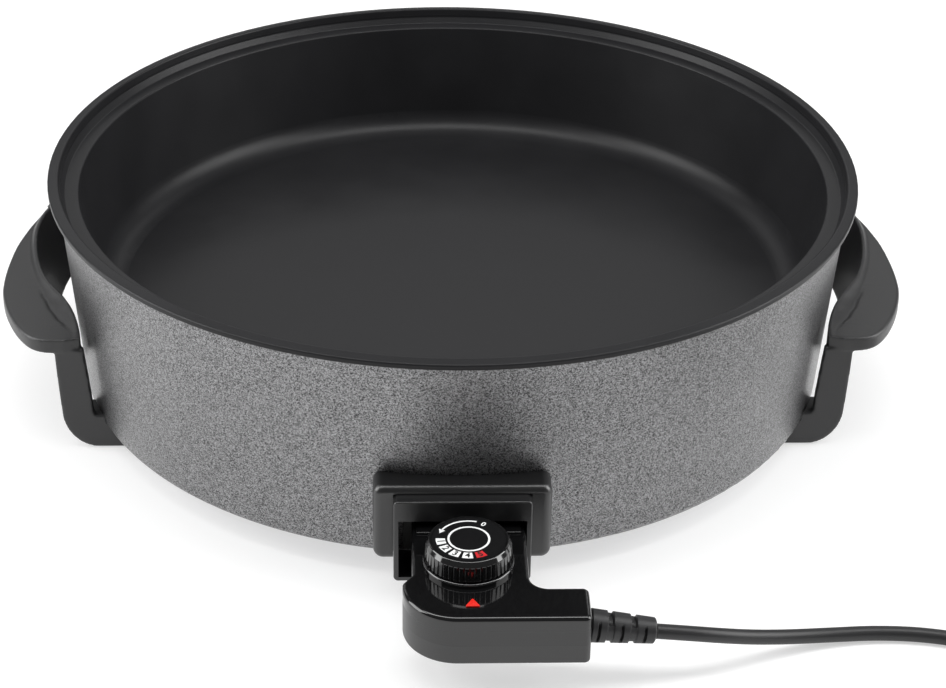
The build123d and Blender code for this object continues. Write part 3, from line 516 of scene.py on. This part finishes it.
def loft(rings):
    """Faces that join equal closed rings, with a cap at each end."""
    count = len(rings[0])
    faces = [list(range(count)), [len(rings) * count - 1 - i for i in range(count)]]
    for row in range(len(rings) - 1):
        for i in range(count):
            j = (i + 1) % count
            near, far = row * count, (row + 1) * count
            faces.append([near + i, near + j, far + j, far + i])
    return [point for ring in rings for point in ring], faces


def grip_shape():
    """The grip and its finger guard, lofted from rear to front, at +X."""
    steps = 150
    rings = []
    for i in range(steps + 1):
        at = (len(grip_stations) - 1) * i / steps
        gx, gy = smooth_between([pair[0] for pair in grip_stations], at)
        ox, oy = smooth_between([pair[1] for pair in grip_stations], at)
        width = math.hypot(ox - gx, oy - gy)
        ux, uy = (ox - gx) / width, (oy - gy) / width
        rings.append([(gx + ux * s, gy + uy * s, z) for s, z in grip_section(width, gy)])
    return loft(rings)


def prism(plan, low, high, axis="Z"):
    """A straight bar with the given outline, along Z or along Y."""
    if axis == "Z":
        rings = [[(x, y, level) for x, y in plan] for level in (low, high)]
    else:
        rings = [[(x, level, z) for x, z in plan] for level in (low, high)]
    return loft(rings)


def rear_wrap():
    """The guard's rear end, bent round to the rear leg in plan."""
    half = GUARD_WALL / 2
    middle = [
        (192.0, 82.4), (206.0, 82.4), (213.0, 81.4), (219.0, 78.6), (224.4, 74.2), (228.4, 69.0),
        (230.9, 63.0),
    ]
    rings = []
    for i in range(31):
        at = (len(middle) - 1) * i / 30
        x, y = smooth_between(middle, at)
        ahead_x, ahead_y = smooth_between(middle, min(at + 0.05, len(middle) - 1))
        back_x, back_y = smooth_between(middle, max(at - 0.05, 0))
        dx, dy = ahead_x - back_x, ahead_y - back_y
        length = math.hypot(dx, dy)
        px, py = dy / length * half, -dx / length * half
        lean = GUARD_LEAN * min(1.0, max(0.0, (x - 205.0) / 26.0))
        top = GUARD_CREST - 0.8
        section = [(x + px, y + py, top), (x - px, y - py, top)]
        section += [(x - px - lean, y - py, GUARD_LOW), (x + px - lean, y + py, GUARD_LOW)]
        rings.append(section)
    return loft(rings)


def leg_shapes(fore):
    """One angle-shaped leg with its foot; fore is -1 at the front and 1 at the rear."""
    low, top = FOOT_LOW, GRIP_LOW + 1
    heel = []
    for i in range(13):
        a = i * math.pi / 24
        heel.append((LEG_OUTSIDE - HEEL_REACH * (1 - math.cos(a)), low + HEEL_RISE * (1 - math.sin(a))))
    bend = [(210.9, top), (210.3, 40.0)] + heel
    inside = [(x - GUARD_WALL * 0.7, z + GUARD_WALL * 0.7) for x, z in heel[::-1]]
    inside += [(206.2, 40.0), (206.8, top)]
    foot_end = [(FOOT_END, low), (FOOT_END, FOOT_TOP)]
    lug_step = [(177.0, FOOT_TOP), (177.0, 20.0), (191.6, 20.0)]
    inner_edge = [(192.8, 21.6), (193.3, 31.0), (194.2, 42.4), (195.8, top)]
    face = bend + foot_end + lug_step + inner_edge
    bar = foot_end + [(203.0, FOOT_TOP)] + heel[6:]
    lug = [(178.0, 2.0), (178.0, 20.0), (205.0, 20.0), (205.0, 10.0), (198.0, 3.0)]
    return [
        prism(bend + inside, *sorted((fore * LEG_FACE, fore * LEG_WRAP)), axis="Y"),
        prism(face, *sorted((fore * LEG_FACE, fore * (LEG_FACE - GUARD_WALL))), axis="Y"),
        prism(bar, *sorted((fore * (LEG_FACE - 0.3), fore * (LEG_FACE - FOOT_WIDTH))), axis="Y"),
        prism(lug, *sorted((fore * (LEG_FACE - 3.0), fore * (LEG_FACE - FOOT_WIDTH))), axis="Y"),
    ]


def turned(profile, segments, centre=(0.0, 0.0)):
    """A closed solid round an upright axis. Its profile is (radius, height) points all round, or a
    function that gives them for an angle."""
    rings = []
    for i in range(segments):
        a = 2 * math.pi * i / segments
        section = profile(a) if callable(profile) else profile
        rings.append([(centre[0] + r * math.cos(a), centre[1] + r * math.sin(a), z) for r, z in section])
    count = len(rings[0])
    faces = []
    for row in range(segments):
        after = (row + 1) % segments
        for i in range(count):
            j = (i + 1) % count
            faces.append([row * count + i, row * count + j, after * count + j, after * count + i])
    return [point for ring in rings for point in ring], faces


def joined(shapes, side=1.0):
    """Several closed shapes as one set of points and faces, mirrored where side is -1."""
    points, faces = [], []
    for shape_points, shape_faces in shapes:
        shift = len(points)
        points += [(side * x, y, z) for x, y, z in shape_points]
        faces += [[shift + i for i in face] for face in shape_faces]
    return points, faces


def mesh_of(name, points, faces, smooth=True):
    """A mesh from points in millimetres about the bowl's axis, normals outward."""
    mesh = bpy.data.meshes.new(name)
    mesh.from_pydata([(x * MM, y * MM + SHIFT_Y, z * MM) for x, y, z in points], [], faces)
    work = bmesh.new()
    work.from_mesh(mesh)
    bmesh.ops.recalc_face_normals(work, faces=work.faces)
    work.to_mesh(mesh)
    work.free()
    for face in mesh.polygons:
        face.use_smooth = smooth
    return mesh


def piece_of(name, mesh, body, material, slot, *nodes):
    """A finished mesh becomes a piece that rides on a body and may stand for CAD nodes."""
    mesh.materials.clear()
    mesh.materials.append(material)
    piece = bpy.data.objects.new(name, mesh)
    scene.collection.objects.link(piece)
    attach(piece, body)
    if nodes:
        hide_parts(*nodes)
    return piece


def baked(piece):
    """The piece's mesh with its modifiers applied; the piece itself goes."""
    found = bpy.data.meshes.new_from_object(piece.evaluated_get(bpy.context.evaluated_depsgraph_get()))
    bpy.data.objects.remove(piece)
    return found


def handle(name, side):
    """One handle: its forms grown together, softened as a moulding is, and cut for the wall, the
    pads and the screws."""
    shapes = [grip_shape(), rear_wrap()] + leg_shapes(-1) + leg_shapes(1)
    work = bpy.data.objects.new(name + "_work", mesh_of(name, *joined(shapes, side)))
    scene.collection.objects.link(work)
    grow = work.modifiers.new("grow", "REMESH")
    grow.mode = "VOXEL"
    grow.voxel_size = 0.0008
    soften = work.modifiers.new("soften", "SMOOTH")
    soften.factor = 0.5
    soften.iterations = 2
    # The housing that the handle fits round, as (radius, height) points.
    wall = [(20.0, 12.6)] + arc(201.1, 16.7, 4.1, -90, 0, 6) + [(213.4, 126.0), (20.0, 126.0)]
    # Wells in each foot: place along X, radius and depth, two for screws and one for the pad.
    wells = ((165.0, 4.4, 5.0), (126.0, 4.4, 5.0), (146.0, 7.1, 3.0))
    cuts = [turned(wall, 256)]
    for fore in (-1, 1):
        y = fore * (LEG_FACE - FOOT_WIDTH / 2)
        for x, radius, top in wells:
            circle = [(side * x + px, y + py) for px, py in arc(0, 0, radius, 0, 345, 23)]
            cuts.append(prism(circle, -2.0, top))
    cutter = bpy.data.objects.new(name + "_cuts", mesh_of(name + "_cuts", *joined(cuts)))
    scene.collection.objects.link(cutter)
    trim = work.modifiers.new("trim", "BOOLEAN")
    trim.object = cutter
    trim.operation = "DIFFERENCE"
    mesh = baked(work)
    bpy.data.objects.remove(cutter)
    for face in mesh.polygons:
        face.use_smooth = True
    mesh.set_sharp_from_angle(angle=math.radians(40))
    return mesh


piece_of("grip_left", handle("grip_left", -1.0), "pan", phenolic, "phenolic", "handle_left")
piece_of("grip_right", handle("grip_right", 1.0), "pan", phenolic, "phenolic", "handle_right")


# ======== Connector hood and socket frame ========
# A heat-resistant black moulding screwed to the wall, with the open frame that the control slides
# into. Its edges are generously rounded.

hood_black = moulded(
    "hood_black", (0.01, 0.01, 0.0105), 0.3, grain=700.0, relief=0.00003, specular=0.8
)
for node in ("connector_hood", "socket_frame"):
    dress(node, hood_black)


# ======== Control ========
# A polished black upper shell over a satin lower one, screwed together from below, with a fine
# parting line. A red lens over the neon lamp is let into the top, between the dial and the front.


def lidded_surface():
    """Polished above a line, satin below it down to a dark seam where the lower shell begins."""
    group = new_group(
        "lidded_surface",
        [("Line", 0.037), ("Seam", 0.0288), ("Roughness", 0.07), ("Lower Roughness", 0.35)],
        [("Color", (0.004, 0.004, 0.0043)), ("Lower Color", (0.008, 0.008, 0.0083))],
    )
    start = add(group, "NodeGroupInput")
    end = add(group, "NodeGroupOutput")
    place = add(group, "ShaderNodeTexCoord")
    parts = add(group, "ShaderNodeSeparateXYZ")
    group.links.new(place.outputs["Object"], parts.inputs[0])
    lower = add(group, "ShaderNodeMath", operation="LESS_THAN")
    group.links.new(parts.outputs["Z"], lower.inputs[0])
    group.links.new(start.outputs["Line"], lower.inputs[1])
    seam = add(group, "ShaderNodeMath", operation="GREATER_THAN")
    group.links.new(parts.outputs["Z"], seam.inputs[0])
    group.links.new(start.outputs["Seam"], seam.inputs[1])
    paler = add(group, "ShaderNodeMath", operation="MULTIPLY")
    group.links.new(lower.outputs[0], paler.inputs[0])
    group.links.new(seam.outputs[0], paler.inputs[1])
    tint = add(group, "ShaderNodeMix", data_type="RGBA")
    group.links.new(paler.outputs[0], tint.inputs[0])
    group.links.new(start.outputs["Color"], tint.inputs[6])
    group.links.new(start.outputs["Lower Color"], tint.inputs[7])
    gloss_level = add(group, "ShaderNodeMix", data_type="FLOAT")
    group.links.new(lower.outputs[0], gloss_level.inputs[0])
    group.links.new(start.outputs["Roughness"], gloss_level.inputs[2])
    group.links.new(start.outputs["Lower Roughness"], gloss_level.inputs[3])
    bump = add(group, "ShaderNodeBump")
    bump.inputs["Distance"].default_value = 0.000004
    group.links.new(noise(group, place, 900.0, 2.0), bump.inputs["Height"])
    group.links.new(tint.outputs[2], end.inputs["Color"])
    group.links.new(gloss_level.outputs[0], end.inputs["Roughness"])
    group.links.new(bump.outputs[0], end.inputs["Normal"])
    return group


gloss = moulded("gloss_shell", (0.004, 0.004, 0.0043), 0.07, relief=0.000002, specular=1.0)
dress("control_upper_shell", finish_of("lidded_shell", lidded_surface(), specular=0.7))
dress("dial_collar", gloss)
satin = moulded("satin_shell", (0.026, 0.026, 0.0265), 0.38, specular=0.65)
for node in ("control_lower_shell", "cord_clamp"):
    dress(node, satin)
red = moulded("red_lens", (0.7, 0.02, 0.012), 0.2)
dress("pilot_lens", red)
dress("neon_lamp", moulded("lamp_glass", (0.9, 0.6, 0.4), 0.1))


# ======== Dial ========
# A gloss knob with a fluted skirt. The disc let into its top is printed in white: a ring, an arc
# that ends in an arrowhead, and heat settings 1 to 5 in boxes, the last one red.

dress("dial_knob", gloss)
dress("dial_plate", moulded("dial_disc", (0.006, 0.006, 0.0065), 0.25))
white_ink = moulded("white_ink", (0.82, 0.83, 0.83), 0.5)
red_ink = moulded("red_ink", (0.55, 0.015, 0.02), 0.5)
black_ink = moulded("black_ink", (0.01, 0.01, 0.01), 0.5)
dial_low, dial_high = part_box("dial_plate")
DIAL_X = (dial_low[0] + dial_high[0]) / 2 / MM
DIAL_Y = ((dial_low[1] + dial_high[1]) / 2 - SHIFT_Y) / MM
DIAL_Z = dial_high[2] / MM
INK = 0.06
ARC_RADIUS = 14.4
BOX_RADIUS = 13.3
BOX_HEIGHT = 4.4
BOX_HALF = 9.8  # degrees


def printed(name, outline, ink, height=INK):
    """A thin printed shape on the disc; its outline is in millimetres about the dial's middle."""
    plan = [(DIAL_X + x, DIAL_Y + y) for x, y in outline]
    mesh = mesh_of(name, *prism(plan, DIAL_Z, DIAL_Z + height), smooth=False)
    return piece_of(name, mesh, "dial", ink, "dial_print")


def digit(name, text, size, radius, azimuth, ink, height):
    """A number that stands upright as seen from the dial's middle, set at an azimuth."""
    letters = bpy.data.curves.new(name, "FONT")
    letters.body = text
    letters.size = size * MM
    letters.align_x = "CENTER"
    letters.align_y = "CENTER"
    letters.extrude = height / 2 * MM
    letters.offset = 0.1 * MM
    shape = bpy.data.objects.new(name, letters)
    scene.collection.objects.link(shape)
    mesh = baked(shape)
    a = math.radians(azimuth)
    x = (DIAL_X + radius * math.cos(a)) * MM
    y = (DIAL_Y + radius * math.sin(a)) * MM + SHIFT_Y
    place = Vector((x, y, (DIAL_Z + height / 2) * MM))
    mesh.transform(Matrix.Translation(place) @ Matrix.Rotation(a + math.pi / 2, 4, "Z"))
    return piece_of(name, mesh, "dial", ink, "dial_print")


def band(radius, width, first, last, steps):
    """Outline of a curved stripe."""
    outer = arc(0, 0, radius + width / 2, first, last, steps)
    return outer + arc(0, 0, radius - width / 2, last, first, steps)


ring_profile = [(9.0, DIAL_Z), (10.0, DIAL_Z), (10.0, DIAL_Z + INK), (9.0, DIAL_Z + INK)]
ring = mesh_of("print_ring", *turned(ring_profile, 96, (DIAL_X, DIAL_Y)), smooth=False)
piece_of("print_ring", ring, "dial", white_ink, "dial_print")
printed("print_arc", band(ARC_RADIUS, 0.9, 74, 150, 40), white_ink)
arrow = []
for r, azimuth in ((ARC_RADIUS, 161), (16.0, 149), (12.8, 149)):
    arrow.append((r * math.cos(math.radians(azimuth)), r * math.sin(math.radians(azimuth))))
printed("print_arrowhead", arrow, white_ink)
digit("print_0", "0", 4.2, 14.0, 58.6, white_ink, INK)
for number, azimuth in enumerate((188, 214, 240, 266, 292), start=1):
    ink = red_ink if number == 5 else white_ink
    box = band(BOX_RADIUS, BOX_HEIGHT, azimuth - BOX_HALF, azimuth + BOX_HALF, 8)
    printed("print_box_%d" % number, box, ink)
    digit("print_%d" % number, str(number), 4.9, BOX_RADIUS, azimuth, black_ink, INK * 2)


# ======== Strain relief ========
# A soft black rubber sleeve moulded onto the cord, slotted in turn on its sides and above and
# below, so that it bends every way but doesn't kink. It tapers from the shell to the cord.

RELIEF_ROOT = Vector((57.0, -282.5, 29.6))
RELIEF_TIP = Vector((87.6, -281.5, 25.4))
BORE = 3.66  # the sleeve's hole, a hair wider than the cord
relief_length = (RELIEF_TIP - RELIEF_ROOT).length
# Where the slots lie along the sleeve, from the shell outwards.
side_slots = (3.6, 14.6, 25.6)
level_slots = (9.1, 20.1)


def slot_share(at, places, half):
    """How deep a slot is at a place along the sleeve, from 0 to 1."""
    return max(min(1.0, max(0.0, (half + 0.25 - abs(at - place)) / 0.5)) for place in places)


def relief_profile(angle):
    """The sleeve's section at an angle round its axis; 90 degrees is up."""
    upright = min(1.0, max(0.0, (abs(math.sin(angle)) - 0.62) / 0.12))
    profile = [(BORE, -2.0), (5.4, -2.0), (5.4, -0.1), (6.9, -0.1)]
    steps = 150
    for i in range(steps + 1):
        at = relief_length * i / steps
        radius = 8.0 - 1.9 * i / steps
        radius -= 0.7 * max(0.0, 1 - at / 0.7) ** 2 + 0.9 * max(0.0, 1 - (relief_length - at) / 0.9) ** 2
        radius -= 2.5 * upright * slot_share(at, level_slots, 1.2)
        radius -= 2.0 * (1 - upright) * slot_share(at, side_slots, 0.5)
        radius -= 0.7 * (1 - upright) * slot_share(at, level_slots, 1.6)
        profile.append((radius, at))
    return profile + [(BORE, relief_length)]


sleeve_points, sleeve_faces = turned(relief_profile, 96)
sleeve = bpy.data.meshes.new("relief_sleeve")
sleeve.from_pydata([(x * MM, y * MM, z * MM) for x, y, z in sleeve_points], [], sleeve_faces)
sleeve.polygons.foreach_set("use_smooth", [True] * len(sleeve.polygons))
sleeve.set_sharp_from_angle(angle=math.radians(50))
relief_turn = (RELIEF_TIP - RELIEF_ROOT).to_track_quat("Z", "Y").to_matrix().to_4x4()
relief_place = Vector((RELIEF_ROOT.x * MM, RELIEF_ROOT.y * MM + SHIFT_Y, RELIEF_ROOT.z * MM))
sleeve.transform(Matrix.Translation(relief_place) @ relief_turn)
relief_rubber = moulded(
    "relief_rubber", (0.02, 0.02, 0.021), 0.45, grain=1400.0, relief=0.00004, mottle=0.5
)
piece_of("relief_sleeve", sleeve, "control", relief_rubber, "black_rubber", "strain_relief")
